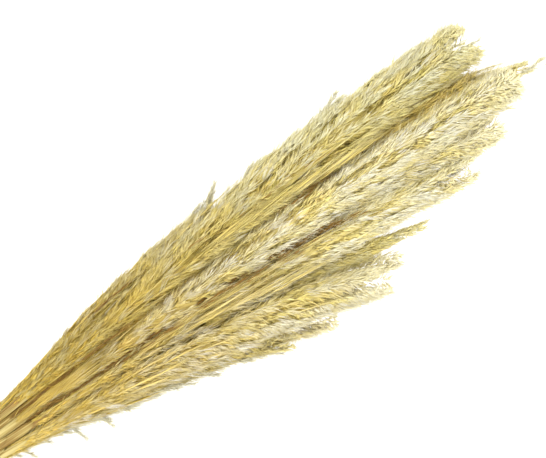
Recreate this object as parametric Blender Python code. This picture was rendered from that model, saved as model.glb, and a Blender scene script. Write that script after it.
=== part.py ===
"""Dried wild reed: a tied bunch of reeds lying on its side, in metres, +Z up.

Every reed is a golden culm with a long pale plume at its end. The culms are held by one elastic
band. The plumes fan out from it along +X and press against each other and against the table.
The origin is under the middle of the bunch, on the table.
"""

import math
import random
from collections import namedtuple

import bmesh
import bpy
from mathutils import Vector
from mathutils.bvhtree import BVHTree

MM = 0.001
SEED = 23

# The bunch, measured from the band: plumes along +X, cut ends along -X
STEM_BELOW_BAND = 250 * MM
STEM_END_SPREAD = 14 * MM
STEM_END_CLEAR = 0.6 * MM
BAND_HEIGHT = 27 * MM
SPLAY_AT_ENDS = 1.5
TWIST_AT_ENDS = math.radians(24)

# The fan: where it opens, how soon the reeds rise to their height, how late their tips bend
FAN_START = 0.04
RISE_SHARE = 0.45
BEND_POWER = 5
FAN_MIDDLE_HEIGHT = 35 * MM
ORDER_STATION = 80 * MM

# How the culms are drawn together into the band
LOOSENING = 3
TIGHTENING_ROUNDS = 600
TIGHTENING = 0.985
PARTING_ROUNDS = 6

# One culm: a tapered cane
CULM_RADIUS = 3.6 * MM
CULM_TOP_RADIUS = 2.6 * MM
CULM_TAPER_LENGTH = 300 * MM
CULM_GAP = 0.3 * MM
CULM_STEP = 60 * MM
STRAIGHT_AT_BAND = 7 * MM
SEAT_GAP = 0.35 * MM

# One plume's girth along its length, as shares of its full girth and of its length
BASE_GIRTH = 0.24
FULL_GIRTH_AT = 0.55
TAPER_FROM = 0.65
BLUNT_TAPER = 0.25
SLENDER_TAPER = 0.6
LEAST_SLEEVE = 1 * MM
TIP_MARGIN = 0.12
WALL_GAP = 2.4 * MM
TABLE_GAP = 0.2 * MM

# One plume's core, whose faces are drawn out into lashes, each a branch of spikelets
CORE_SHARE = 0.58
RING_STEP = 25 * MM
BARE_TIP_STEPS = 1.9
CORE_TIP_STEPS = 0.6
LASH_REACH = 0.85
LASH_RIDGE = 0.11
LASH_HALF_WIDTH = 0.23
LASH_LEAST_WIDTH = 1.0 * MM
LASH_LIFTS = (1.0, 0.9, 1.08, 0.8)
LASH_RING_STEPS = 0.9
LASH_TIP_STEPS = 2.3
LASH_LENGTHS = (0.86, 1.12)
LASH_TIP_REACHES = (0.98, 1.2)
RING_SWING = math.radians(3)
TIP_SWING = math.radians(9)
LAST_RING_STEPS = 0.5
LAST_TIP = 1.005
TOUCH = 0.001 * MM

# The elastic band: flat turns side by side round the culms
BAND_TURNS = 3
BAND_TURN_WIDTH = 2.4 * MM
BAND_THICKNESS = 1.3 * MM
BAND_GAP = 0.3 * MM
BAND_POINTS = 36
BAND_CREST = 0.32
BAND_GROOVE = 0.55

# name, plume tip along X, across Y, height of the plume's middle, bend across at the tip, plume
# length, plume girth radius, slenderness of the tip, sides of the core, colour; in millimetres
Reed = namedtuple("Reed", "name tip across height bend length girth slender sides tint")
REEDS = [
    Reed("01", 388, 76, 42, 0, 330, 16, 0.40, 5, "plume"),
    Reed("02", 580, 83, 36, 0, 480, 23, 0.40, 5, "plume"),
    Reed("03", 700, 71, 60, -10, 570, 35, 0.00, 6, "plume"),
    Reed("04", 682, 32, 58, -20, 550, 20, 0.20, 5, "plume_gold"),
    Reed("05", 756, 7, 40, -66, 560, 19, 0.70, 5, "plume"),
    Reed("06", 714, 11, 61, -18, 600, 31, 0.00, 6, "plume"),
    Reed("07", 674, -20, 50, -20, 560, 27, 0.10, 5, "plume"),
    Reed("08", 630, -43, 58, -24, 500, 23, 0.20, 5, "plume"),
    Reed("09", 560, -66, 47, -20, 430, 15, 0.80, 5, "plume"),
    Reed("10", 512, -78, 33, -24, 400, 18, 0.30, 5, "plume"),
    Reed("11", 488, -90, 57, -38, 390, 23, 0.00, 5, "plume"),
    Reed("12", 418, -95, 24, -40, 340, 18, 0.10, 5, "plume"),
    Reed("13", 368, -88, 41, -38, 300, 15, 0.20, 5, "plume"),
    Reed("14", 292, -63, 13, -14, 220, 13, 0.40, 5, "plume"),
    Reed("15", 650, 54, 14, 0, 480, 24, 0.20, 5, "plume"),
    Reed("16", 664, 10, 12, -4, 500, 22, 0.20, 5, "plume"),
    Reed("17", 546, -32, 12, -6, 430, 21, 0.20, 5, "plume"),
    Reed("18", 450, -62, 12, -14, 350, 18, 0.30, 5, "plume"),
]

# Where the underside of a plume is pressed flat against the table
RESTS = {"15": 430 * MM, "16": 380 * MM, "17": 290 * MM, "18": 260 * MM}
REST_HALF_LENGTH = 50 * MM
REST_SLOPE = 0.35
REST_SHARE = 0.9
REST_CLEAR = 2.5 * MM

MATERIALS = {
    "culm": ((0.62, 0.44, 0.15, 1), 0.55),
    "plume": ((0.80, 0.73, 0.44, 1), 0.85),
    "plume_gold": ((0.70, 0.52, 0.20, 1), 0.80),
    "band": ((0.60, 0.45, 0.27, 1), 0.60),
}


def clear_scene():
    for obj in list(bpy.data.objects):
        bpy.data.objects.remove(obj)


def add_object(name, data, material):
    data.materials.append(material)
    bpy.context.collection.objects.link(bpy.data.objects.new(name, data))


def add_solid(name, mesh, material):
    """An object made of the edited mesh, with its faces pointing out."""
    bmesh.ops.recalc_face_normals(mesh, faces=mesh.faces)
    data = bpy.data.meshes.new(name)
    mesh.to_mesh(data)
    mesh.free()
    add_object(name, data, material)


def make_material(name):
    colour, roughness = MATERIALS[name]
    material = bpy.data.materials.new(name)
    material.use_nodes = True
    shader = material.node_tree.nodes["Principled BSDF"]
    shader.inputs["Base Color"].default_value = colour
    shader.inputs["Roughness"].default_value = roughness
    shader.inputs["Metallic"].default_value = 0.0
    return material


def eased(share):
    share = min(max(share, 0.0), 1.0)
    return share * share * (3 - 2 * share)


def tip_of(reed):
    return reed.tip * MM


def base_of(reed):
    return (reed.tip - reed.length) * MM


def fan_share(reed, along):
    share = along / tip_of(reed)
    return (1 + FAN_START) * share * share / (share + FAN_START)


def rise_share(reed, along):
    return eased(along / (RISE_SHARE * tip_of(reed)))


def bundled():
    """Each culm's place in the band: close together as round canes lie, in the fan's own order."""
    spacing = 2 * CULM_RADIUS + CULM_GAP
    spots = [
        LOOSENING * Vector((
            (reed.across - reed.bend) * MM * fan_share(reed, ORDER_STATION),
            (reed.height * MM - FAN_MIDDLE_HEIGHT) * rise_share(reed, ORDER_STATION),
        ))
        for reed in REEDS
    ]
    for _ in range(TIGHTENING_ROUNDS):
        spots = [spot * TIGHTENING for spot in spots]
        for _ in range(PARTING_ROUNDS):
            for i, first in enumerate(spots):
                for second in spots[i + 1:]:
                    apart = second - first
                    short = spacing - apart.length
                    if short > 0:
                        push = apart.normalized() * short / 2
                        first -= push
                        second += push
    closest = min((b - a).length for i, a in enumerate(spots) for b in spots[i + 1:])
    middle = sum(spots, Vector((0, 0))) / len(spots)
    return [(spot - middle) * spacing / closest for spot in spots]


BUNDLE = dict(zip((reed.name for reed in REEDS), bundled()))
LOWEST_END = min(
    SPLAY_AT_ENDS * (spot.x * math.sin(TWIST_AT_ENDS) + spot.y * math.cos(TWIST_AT_ENDS))
    for spot in BUNDLE.values()
)
END_HEIGHT = CULM_RADIUS + STEM_END_CLEAR - LOWEST_END


def spine(reed, along):
    """The middle of the reed at a station along X: straight below the band, fanned out above it."""
    spot = BUNDLE[reed.name]
    if along <= 0:
        back = -along / STEM_BELOW_BAND
        splay = 1 + (SPLAY_AT_ENDS - 1) * back * back
        turn = TWIST_AT_ENDS * back * back
        across = splay * (spot.x * math.cos(turn) - spot.y * math.sin(turn))
        up = splay * (spot.x * math.sin(turn) + spot.y * math.cos(turn))
        return Vector((along, across, BAND_HEIGHT + (END_HEIGHT - BAND_HEIGHT) * eased(back) + up))
    straight = (reed.across - reed.bend) * MM
    across = spot.x + (straight - spot.x) * fan_share(reed, along)
    across += reed.bend * MM * (along / tip_of(reed)) ** BEND_POWER
    low = BAND_HEIGHT + spot.y
    height = low + (reed.height * MM - low) * rise_share(reed, along)
    return Vector((along, across, height))


def frame_at(reed, along):
    """The spine's point, and the side and up directions square to it."""
    step = 2 * MM
    forward = (spine(reed, along + step) - spine(reed, along - step)).normalized()
    side = Vector((0, 0, 1)).cross(forward).normalized()
    return spine(reed, along), side, forward.cross(side)


def culm_radius(along):
    return CULM_RADIUS + (CULM_TOP_RADIUS - CULM_RADIUS) * eased(along / CULM_TAPER_LENGTH)


def girth(reed, along):
    """The radius that the reed takes at a station: its culm, then its plume, then nothing."""
    share = (along - base_of(reed)) / (reed.length * MM)
    if share < 0:
        return culm_radius(along)
    if share > 1 + TIP_MARGIN:
        return 0.0
    swell = BASE_GIRTH + (1 - BASE_GIRTH) * eased(share / FULL_GIRTH_AT)
    taper = BLUNT_TAPER + SLENDER_TAPER * reed.slender
    fall = 1 - taper * eased((share - TAPER_FROM) / (1 - TAPER_FROM))
    return max(reed.girth * MM * swell * fall, culm_radius(along) + LEAST_SLEEVE)


def room(reed, along, direction, reach):
    """How far the reed may stand out from its spine before it meets a neighbour's half."""
    here = spine(reed, along)
    mine = girth(reed, along)
    for other in REEDS:
        theirs = girth(other, along)
        if other is reed or not theirs:
            continue
        apart = spine(other, along) - here
        distance = apart.length
        wall = distance * mine / (mine + theirs)
        if along < base_of(other):
            wall = min(wall, distance - culm_radius(along) - WALL_GAP / 2)
        facing = direction.dot(apart) / distance
        if facing > 0:
            reach = min(reach, (wall - WALL_GAP / 2) / facing)
    return reach


def heading(side, up, angle):
    return side * math.cos(angle) + up * math.sin(angle)


def core_ring(reed, along, turn):
    """One ring of the core: round where it is free, flat where it is pressed."""
    here, side, up = frame_at(reed, along)
    points = []
    for k in range(reed.sides):
        direction = heading(side, up, turn + math.tau * k / reed.sides)
        rests = pressed(reed, along) and direction.z < -REST_SLOPE
        reach = room(reed, along, direction, girth(reed, along))
        point = here + direction * reach * (REST_SHARE if rests else CORE_SHARE)
        point.z = 0.0 if rests else max(point.z, TABLE_GAP)
        points.append(point)
    return points


def pressed(reed, along):
    rest = RESTS.get(reed.name)
    return rest is not None and abs(along - rest) < REST_HALF_LENGTH


def inside_room(reed, along, offsets):
    """The offsets from the spine, drawn in together until each is clear of neighbours and table."""
    here = spine(reed, along)
    scale = 1.0
    for offset in offsets:
        reach = offset.length
        scale = min(scale, room(reed, along, offset / reach, reach) / reach)
        if offset.z < 0:
            scale = min(scale, (here.z - TABLE_GAP) / -offset.z)
    return [here + offset * scale for offset in offsets]


def lash_shape(reed, front, angle, lift, draw):
    """The ring and the tip of one lash: a ridge outside, two edges inside, then a point."""
    last_ring = tip_of(reed) - LAST_RING_STEPS * RING_STEP
    ring_at = min(front + LASH_RING_STEPS * RING_STEP, last_ring)
    length = LASH_TIP_STEPS * RING_STEP * draw.uniform(*LASH_LENGTHS)
    tip_at = min(front + length, tip_of(reed) * LAST_TIP)
    _, side, up = frame_at(reed, ring_at)
    swing = angle + draw.uniform(-RING_SWING, RING_SWING)
    outward = heading(side, up, swing)
    around = heading(side, up, swing + math.pi / 2)
    reach = lift * room(reed, ring_at, outward, girth(reed, ring_at))
    half = max(LASH_HALF_WIDTH * reach, LASH_LEAST_WIDTH)
    ridge = outward * (LASH_REACH + LASH_RIDGE) * reach
    middle = outward * (LASH_REACH - LASH_RIDGE / 2) * reach
    ring = inside_room(reed, ring_at, [ridge, middle + around * half, middle - around * half])
    _, side, up = frame_at(reed, tip_at)
    outward = heading(side, up, angle + draw.uniform(-TIP_SWING, TIP_SWING))
    wanted = girth(reed, tip_at) * draw.uniform(*LASH_TIP_REACHES)
    tip, = inside_room(reed, tip_at, [outward * lift * room(reed, tip_at, outward, wanted)])
    return ring, tip


def lash_shell(corners, ring, tip):
    """The triangles of a lash: three sides, each split across its shorter diagonal, and the point."""
    shell = []
    for n in range(3):
        after = (n + 1) % 3
        low, low_after, high, high_after = corners[n], corners[after], ring[n], ring[after]
        if (high_after - low).length < (low_after - high).length:
            shell += [(low, low_after, high_after), (low, high_after, high)]
        else:
            shell += [(low, low_after, high), (low_after, high_after, high)]
        shell.append((high, high_after, tip))
    return shell


def tree_of(triangles):
    points = [point for triangle in triangles for point in triangle]
    return BVHTree.FromPolygons(points, [(k, k + 1, k + 2) for k in range(0, len(points), 3)])


def crosses(shell, body):
    """Whether a lash runs through what stands already or through itself, apart from its roots."""
    for i, k in tree_of(shell).overlap(tree_of(body)):
        apart = min((mine - theirs).length for mine in shell[i] for theirs in body[k])
        if apart > TOUCH:
            return True
    return False


def raise_lash(mesh, face, corners, ring, tip):
    """Draws one face of the core out through the ring to the tip."""
    face = bmesh.ops.extrude_discrete_faces(mesh, faces=[face])["faces"][0]
    for vertex in face.verts:
        nearest = min(range(3), key=lambda k: (corners[k].co - vertex.co).length)
        vertex.co = ring[nearest]
    face = bmesh.ops.extrude_discrete_faces(mesh, faces=[face])["faces"][0]
    bmesh.ops.pointmerge(mesh, verts=list(face.verts), merge_co=tip)


def seat_ring(reed, turn):
    """The plume's foot, as wide as the culm that it sits on."""
    here, side, up = frame_at(reed, base_of(reed))
    steps = [turn + math.tau * n / reed.sides for n in range(reed.sides)]
    return [here + heading(side, up, step) * CULM_TOP_RADIUS for step in steps]


def add_core(mesh, reed, start):
    """The plume's core, and for each lash its root face, corners, station and angle."""
    count = round(reed.length * MM / RING_STEP - BARE_TIP_STEPS)
    sides = reed.sides
    stations = [base_of(reed) + RING_STEP * k for k in range(count + 1)]
    turns = [start + math.pi / sides * k for k in range(count + 1)]
    outlines = [seat_ring(reed, start)]
    outlines += [core_ring(reed, along, turn) for along, turn in zip(stations[1:], turns[1:])]
    rings = [[mesh.verts.new(point) for point in outline] for outline in outlines]
    mesh.faces.new(reversed(rings[0]))
    roots = []
    for k, (rear, fore) in enumerate(zip(rings, rings[1:])):
        for n in range(sides):
            after = (n + 1) % sides
            mesh.faces.new((rear[n], rear[after], fore[n]))
            corners = (rear[after], fore[after], fore[n])
            angle = turns[k] + math.tau * (n + 1) / sides
            roots.append((mesh.faces.new(corners), corners, stations[k + 1], angle))
    end = mesh.verts.new(spine(reed, stations[-1] + CORE_TIP_STEPS * RING_STEP))
    for n in range(sides):
        mesh.faces.new((rings[-1][n], rings[-1][(n + 1) % sides], end))
    return roots


def add_plume(reed, materials):
    draw = random.Random(SEED * 100 + int(reed.name))
    mesh = bmesh.new()
    roots = add_core(mesh, reed, draw.uniform(0, math.tau))
    sides = [face for face in mesh.faces if len(face.verts) == 3]
    body = [[vertex.co.copy() for vertex in face.verts] for face in sides]
    for face, corners, front, angle in roots:
        places = [corner.co.copy() for corner in corners]
        if pressed(reed, front) and sum(place.z for place in places) / 3 < REST_CLEAR:
            continue
        for lift in LASH_LIFTS:
            ring, tip = lash_shape(reed, front, angle, lift, draw)
            shell = lash_shell(places, ring, tip)
            if not crosses(shell, body + shell):
                raise_lash(mesh, face, corners, ring, tip)
                body += shell
                break
    bmesh.ops.triangulate(mesh, faces=mesh.faces, quad_method="SHORT_EDGE")
    add_solid("plume_" + reed.name, mesh, materials[reed.tint])


def spaced(start, end):
    """Stations from start to end, at even steps of no more than the culm's step."""
    count = math.ceil((end - start) / CULM_STEP)
    return [start + (end - start) * k / count for k in range(count)] + [end]


def add_culm(reed, materials):
    draw = random.Random(SEED * 200 + int(reed.name))
    cut = -STEM_BELOW_BAND - draw.uniform(-1, 1) * STEM_END_SPREAD / 2
    end = base_of(reed)
    stations = spaced(cut, -STRAIGHT_AT_BAND) + spaced(STRAIGHT_AT_BAND, end)
    data = bpy.data.curves.new("culm_" + reed.name, "CURVE")
    data.dimensions = "3D"
    data.bevel_depth = 1.0
    data.bevel_resolution = 2
    data.use_fill_caps = True
    line = data.splines.new("POLY")
    line.points.add(len(stations) - 1)
    forward = (spine(reed, end) - spine(reed, end - MM)).normalized()
    for point, along in zip(line.points, stations):
        place = spine(reed, along)
        if along == end:
            place = place - forward * SEAT_GAP
        point.co = (*place, 1)
        point.radius = culm_radius(along)
    add_object("culm_" + reed.name, data, materials["culm"])


def band_outline(clearance):
    """The corners of a line drawn tight round the bundled culms, at that clearance from them."""
    step = math.tau / BAND_POINTS
    points = []
    for k in range(BAND_POINTS):
        outward = Vector((math.cos(k * step), math.sin(k * step)))
        sideways = Vector((-outward.y, outward.x))
        following = outward * math.cos(step) + sideways * math.sin(step)
        here, after = (
            max(map(direction.dot, BUNDLE.values())) + CULM_RADIUS + clearance
            for direction in (outward, following)
        )
        aside = (after - here * math.cos(step)) / math.sin(step)
        points.append(outward * here + sideways * aside)
    return points


def add_band(materials):
    half = BAND_TURNS * BAND_TURN_WIDTH / 2
    profile = [(-half, BAND_GAP), (half, BAND_GAP)]
    for turn in reversed(range(BAND_TURNS)):
        middle = -half + BAND_TURN_WIDTH * (turn + 0.5)
        profile.append((middle + BAND_CREST * BAND_TURN_WIDTH, BAND_GAP + BAND_THICKNESS))
        profile.append((middle - BAND_CREST * BAND_TURN_WIDTH, BAND_GAP + BAND_THICKNESS))
        if turn:
            groove = BAND_GAP + BAND_GROOVE * BAND_THICKNESS
            profile.append((middle - BAND_TURN_WIDTH / 2, groove))
    mesh = bmesh.new()
    loops = []
    for along, clearance in profile:
        loops.append([
            mesh.verts.new((along, point.x, BAND_HEIGHT + point.y))
            for point in band_outline(clearance)
        ])
    for k, loop in enumerate(loops):
        following = loops[(k + 1) % len(loops)]
        for n in range(BAND_POINTS):
            after = (n + 1) % BAND_POINTS
            mesh.faces.new((loop[n], loop[after], following[after], following[n]))
    add_solid("band", mesh, materials["band"])


def centre_on_table():
    """Moves every piece so that the origin is on the table under the middle of the bunch."""
    bpy.context.view_layer.update()
    graph = bpy.context.evaluated_depsgraph_get()
    low, high = Vector((1e9,) * 3), Vector((-1e9,) * 3)
    for obj in bpy.data.objects:
        shape = obj.evaluated_get(graph).to_mesh()
        for vertex in shape.vertices:
            low = Vector(map(min, low, vertex.co))
            high = Vector(map(max, high, vertex.co))
        obj.evaluated_get(graph).to_mesh_clear()
    for obj in bpy.data.objects:
        obj.location = (-(low.x + high.x) / 2, -(low.y + high.y) / 2, -low.z)


def main():
    clear_scene()
    materials = {name: make_material(name) for name in MATERIALS}
    for reed in REEDS:
        add_culm(reed, materials)
        add_plume(reed, materials)
    add_band(materials)
    centre_on_table()


main()
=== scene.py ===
"""Dried wild reed: the looks of a tied bunch of reeds that lies on a pale table.

Every plume is a soft core with branches round it. Thousands of slim husks and hairs sit on the
branches, in the form of the plume's plain solid. Every culm is a hollow cane with joints and the
remains of its leaf sheaths. One elastic band holds the canes.
"""

import math
from collections import namedtuple

import bpy
import numpy as np
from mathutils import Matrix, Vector

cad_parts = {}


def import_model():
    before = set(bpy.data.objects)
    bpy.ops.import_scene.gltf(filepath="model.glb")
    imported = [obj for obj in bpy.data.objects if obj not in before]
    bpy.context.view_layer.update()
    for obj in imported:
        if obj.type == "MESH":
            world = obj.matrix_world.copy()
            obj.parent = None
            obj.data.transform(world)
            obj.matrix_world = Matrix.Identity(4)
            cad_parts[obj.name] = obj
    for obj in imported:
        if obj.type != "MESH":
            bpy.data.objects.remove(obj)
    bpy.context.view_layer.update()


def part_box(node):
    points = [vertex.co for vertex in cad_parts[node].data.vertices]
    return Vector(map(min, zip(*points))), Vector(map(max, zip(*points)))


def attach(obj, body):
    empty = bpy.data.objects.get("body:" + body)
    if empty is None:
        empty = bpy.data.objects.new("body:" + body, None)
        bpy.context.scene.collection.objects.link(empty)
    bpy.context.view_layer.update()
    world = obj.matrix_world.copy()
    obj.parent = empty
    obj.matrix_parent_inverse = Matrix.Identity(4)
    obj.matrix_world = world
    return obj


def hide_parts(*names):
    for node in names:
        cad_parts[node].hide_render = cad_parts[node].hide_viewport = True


MM = 0.001
TINY = 1e-9
SEED = 4100

# The bunch, measured from the band: plumes along +X, cut ends along -X
STEM_BELOW_BAND = 250 * MM
STEM_END_SPREAD = 14 * MM
STEM_END_CLEAR = 0.6 * MM
BAND_HEIGHT = 27 * MM
SPLAY_AT_ENDS = 1.5
TWIST_AT_ENDS = math.radians(24)
FAN_START = 0.04
RISE_SHARE = 0.45
BEND_POWER = 5
FAN_MIDDLE_HEIGHT = 35 * MM
ORDER_STATION = 80 * MM
LOOSENING = 3
TIGHTENING_ROUNDS = 600
TIGHTENING = 0.985
PARTING_ROUNDS = 6
TABLE_GAP = 0.2 * MM
STEP = 2 * MM

# The canes
CULM_RADIUS = 3.6 * MM
CULM_TOP_RADIUS = 2.6 * MM
CULM_TAPER_LENGTH = 300 * MM
CULM_GAP = 0.3 * MM
CULM_INTO_PLUME = 20 * MM
CANE_SIDES = 14
CANE_STATIONS = 26
CANE_WALL = 0.3
CANE_HOLLOW = 0.05
CAP_WITHIN = 1e-4
JOINTS = (0.22, 0.52, 0.84)
JOINT_HALF = 0.006
JOINT_SWELL = 1.14
JOINT_STAIN = 0.03
JOINT_SLIDE = 0.4

# The leaf sheaths: split tubes round the canes, from a joint to a slanted mouth
SHEATH_SIDES = 16
SHEATH_STATIONS = 9
SHEATH_SPLIT = 0.75
SHEATH_SPLIT_ABOVE = 0.9
SHEATH_SLANT = 0.16
SHEATH_WALL = 0.1
SHEATH_FIT = (1.12, 1.5)
SHEATHS = ((-200 * MM, 110 * MM), (-70 * MM, 130 * MM), (25 * MM, 120 * MM))
SHEATH_SHIFT = 28 * MM
SHEATH_VARIES = (0.7, 1.2)

# The elastic band
BAND_WAVE = 0.12 * MM
BAND_FILL = 0.96
BAND_TURNS = 3
BAND_TURN_WIDTH = 2.4 * MM
BAND_THICKNESS = 1.3 * MM
BAND_GAP = 0.3 * MM
BAND_POINTS = 36
BAND_EDGE = 0.22
BAND_EDGE_CUTS = 3
SHARP = math.radians(40)

# The plumes' girth along their length
BASE_GIRTH = 0.24
FULL_GIRTH_AT = 0.55
TAPER_FROM = 0.65
BLUNT_TAPER = 0.25
SLENDER_TAPER = 0.6
LEAST_SLEEVE = 2.4 * MM
TIP_MARGIN = 0.12
FOOT_FUR = 60 * MM
OVERLAP = 1.2 * MM
FLUFF_UP = 0.45

# name, plume tip along X, across Y, height of the plume's middle, bend across at the tip, plume
# length, plume girth radius, slenderness of the tip, colour; in millimetres
Reed = namedtuple("Reed", "name tip across height bend length girth slender tint")
REEDS = [
    Reed("01", 388, 76, 42, 0, 330, 16, 0.40, "olive"),
    Reed("02", 580, 83, 36, 0, 480, 23, 0.40, "olive"),
    Reed("03", 700, 71, 60, -10, 570, 35, 0.00, "olive"),
    Reed("04", 682, 32, 58, -20, 550, 20, 0.20, "gold"),
    Reed("05", 756, 7, 40, -66, 560, 19, 0.70, "olive"),
    Reed("06", 714, 11, 61, -18, 600, 31, 0.00, "cream"),
    Reed("07", 674, -20, 50, -20, 560, 27, 0.10, "cream"),
    Reed("08", 630, -43, 58, -24, 500, 23, 0.20, "cream"),
    Reed("09", 560, -66, 47, -20, 430, 15, 0.80, "olive"),
    Reed("10", 512, -78, 33, -24, 400, 18, 0.30, "cream"),
    Reed("11", 488, -90, 57, -38, 390, 23, 0.00, "cream"),
    Reed("12", 418, -95, 24, -40, 340, 18, 0.10, "cream"),
    Reed("13", 368, -88, 41, -38, 300, 15, 0.20, "olive"),
    Reed("14", 292, -63, 13, -14, 220, 13, 0.40, "olive"),
    Reed("15", 650, 54, 14, 0, 480, 24, 0.20, "cream"),
    Reed("16", 664, 10, 12, -4, 500, 22, 0.20, "cream"),
    Reed("17", 546, -32, 12, -6, 430, 21, 0.20, "cream"),
    Reed("18", 450, -62, 12, -14, 350, 18, 0.30, "olive"),
]

# Stray side branches: for each reed, where one leaves the plume's edge and where its tip is
SPRIGS = {
    "02": (
        ((376, 81), (393, 96)), ((418, 81), (438, 91)), ((344, 77), (366, 86)),
        ((360, 79), (384, 90)),
    ),
    "03": (((528, 94), (552, 103)), ((606, 54), (652, 52)), ((668, 68), (706, 66))),
    "04": (
        ((612, 43), (658, 53)), ((636, 42), (678, 50)), ((664, 44), (710, 33)),
        ((680, 36), (726, 22)),
    ),
    "05": (((718, 10), (752, 12)),),
    "07": (((566, -31), (618, -37)),),
    "08": (((556, -33), (602, -35)),),
    "12": (((330, -78), (352, -92)),),
    "13": (
        ((214, -46), (242, -61)), ((232, -50), (258, -66)), ((262, -58), (284, -72)),
        ((300, -66), (322, -80)),
    ),
    "14": (
        ((119, -24), (129, -50)), ((168, -33), (184, -52)), ((84, -16), (96, -34)),
        ((61, -13), (73, -35)), ((100, -24), (118, -36)), ((140, -34), (160, -47)),
        ((196, -44), (218, -55)), ((44, -10), (60, -27)), ((152, -32), (160, -55)),
    ),
}
SPRIG_RISE = 4 * MM
SPRIG_SUNK = 0.5
SPRIG_HUSKS = 150
SPRIG_LENGTHS = (6 * MM, 15 * MM)
SPRIG_SHORTER = (1.2, 0.6)
SPRIG_SPREAD = 0.32
SPRIG_WIDTHS = (0.4 * MM, 0.8 * MM)
SPRIG_STALKS = 3
STALK_WIDTH = 1.7 * MM
SPRIG_TUFT = 0.9
SPRIG_DEPTH = 0.97
SPRIG_FAR = 0.85

# Branches: how close they stand, how steeply they leave the stem, how far they reach
BRANCH_STEP = 0.95 * MM
GOLDEN_ANGLE = math.radians(137.5)
ANGLE_JITTER = 0.4
LAST_BRANCH = 0.97
BRANCH_SLOPES = (0.17, 0.46)
BRANCH_BOW = 1.2
BRANCH_REACH = 8 * MM
BRANCH_CUT = 0.02
LIFT_LEAST = 0.72
SWINGS = 0.18

# Husks: the slim pointed spikelets along each branch
HUSK_STEP = 1.3 * MM
HUSKS_A_BRANCH = 3
HUSKS_OUTWARD = 0.55
HUSK_LENGTHS = (10 * MM, 21 * MM)
HUSK_WIDTHS = (0.8 * MM, 1.4 * MM)
HUSK_YAW = math.radians(8)
HUSK_YAW_JITTER = math.radians(8)
HUSK_PITCH_JITTER = math.radians(3)
HUSK_BOW = 0.55 * MM
HUSK_MIDDLE = 0.4
HUSK_LEAST = 5 * MM
HUSK_TOP = (0.93, 1.22)
HUSK_TOP_FEW = 3
TURN_LEAST = 6 * MM
UNDER_WIDTH = 1.8
UNDER_SHARE = 0.82
DROOP = math.radians(24)
DROOP_SHARP = 3
BRANCH_LEAN = math.radians(6)

# Where fewer husks are kept: deep in the plume, on its sides and underneath
DEEP_SHARE = 0.43
DEEP_KEEP = 0.12
SIDE_KEEP = 0.5
UNDERSIDE = -0.5
UNDER_KEEP = 0.6

# The end of a plume: looser, paler, hairier and ragged
END_SPREAD = 1.1
END_FLARE = 0.6
END_HAIR = 0.15
END_PALE = 0.65
END_SHORTER = (0.5, 1.0)
END_SPREAD_LENGTH = 90 * MM
RAGGED_OVER = (-54 * MM, 12 * MM)
RAGGED_FEW = 1.6
RAGGED_BLUNT = 0.6
TIP_OVER = 10 * MM
ROUND_BLUNT = 34 * MM
ROUND_SLENDER = 110 * MM
ROUND_LEAST = 0.15
END_FREE = 0.55

# How open a plume's wall is to the air, seen square to the bunch
OPEN_STATIONS = 90
OPEN_ANGLES = 36
OPEN_VIEWS = 16
OPEN_BODY = 0.85
OPEN_GRAZE = 0.15
OPEN_FULL = 0.45
SHUT_KEEP = 0.05

# Hairs: longer and far thinner than husks, and standing a little out of the plume
HAIR_FROM = 0.75
HAIR_SHARES = (0.05, 0.26)
HAIR_LENGTHS = (12 * MM, 27 * MM)
HAIR_WIDTHS = (0.2 * MM, 0.4 * MM)
HAIR_YAW = math.radians(11)
HAIR_PITCH = math.radians(30)
HAIR_TOP = (1.0, 1.5)
HAIR_OUT = 8 * MM

# Tufts: small loose sprays of hair that stand out of the plume
TUFT_STEP = 6.5 * MM
TUFT_OPEN = 0.55
TUFT_HAIRS = 11
TUFT_OUT = (1 * MM, 7 * MM)
TUFT_OUT_VARIES = (0.3, 1.1)
TUFT_FORWARD = (14 * MM, 30 * MM)
TUFT_FORWARD_VARIES = (0.6, 1.1)
TUFT_SLIDE = 0.3
TUFT_LEAN = 0.2
TUFT_FRAY = 0.1
TUFT_SUNK = 0.85
TUFT_WIDTHS = (0.35 * MM, 0.7 * MM)
TUFT_TUFT = 1.6
TUFT_DEPTH = 0.97

# The fringe: more such tufts, thin, pale and long, along the edge of the lowest plumes of the
# fan; the lowest of all has fewer husks there
FRINGE = {"14": 44, "13": 40, "12": 40, "11": 30}
FRINGE_AROUND = 0.55
FRINGE_LONGER = 1.8
FRINGE_THIN = 0.6
FRINGE_BARE = 0.6
FRINGE_SLIM = 0.25
BARE_REED = "14"

# How far, in degrees, husks turn to the fan's lower edge towards the ends of the lower plumes
FALLS = {"14": 22, "13": 34, "12": 38, "11": 38, "10": 30, "09": 20, "08": 16, "07": 10}
FALL_FULL_AT = 0.6

# Fibres: long golden stalks that lie among the husks
FIBRE_STEP = 5 * MM
FIBRE_FIELD = 0.85
FIBRE_LENGTHS = (50 * MM, 120 * MM)
FIBRE_WIDTHS = (0.7 * MM, 1.3 * MM)
FIBRE_SHARES = (0.75, 0.98)
FIBRE_SUNK = 0.8
FIBRE_SWAY = 0.1
FIBRE_DEPTH = 0.5

# Blades: long flat golden strips that lie on the plume's lower part
BLADES = 16
BLADE_FIELD = 0.5
BLADE_LENGTHS = (60 * MM, 190 * MM)
BLADE_WIDTHS = (1.2 * MM, 3.2 * MM)
BLADE_SHARES = (0.92, 1.04)
BLADE_SUNK = 0.9
BLADE_SWAY = 0.06
BLADE_DEPTH = 0.6
BLADE_SHADE = 0.5

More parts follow.
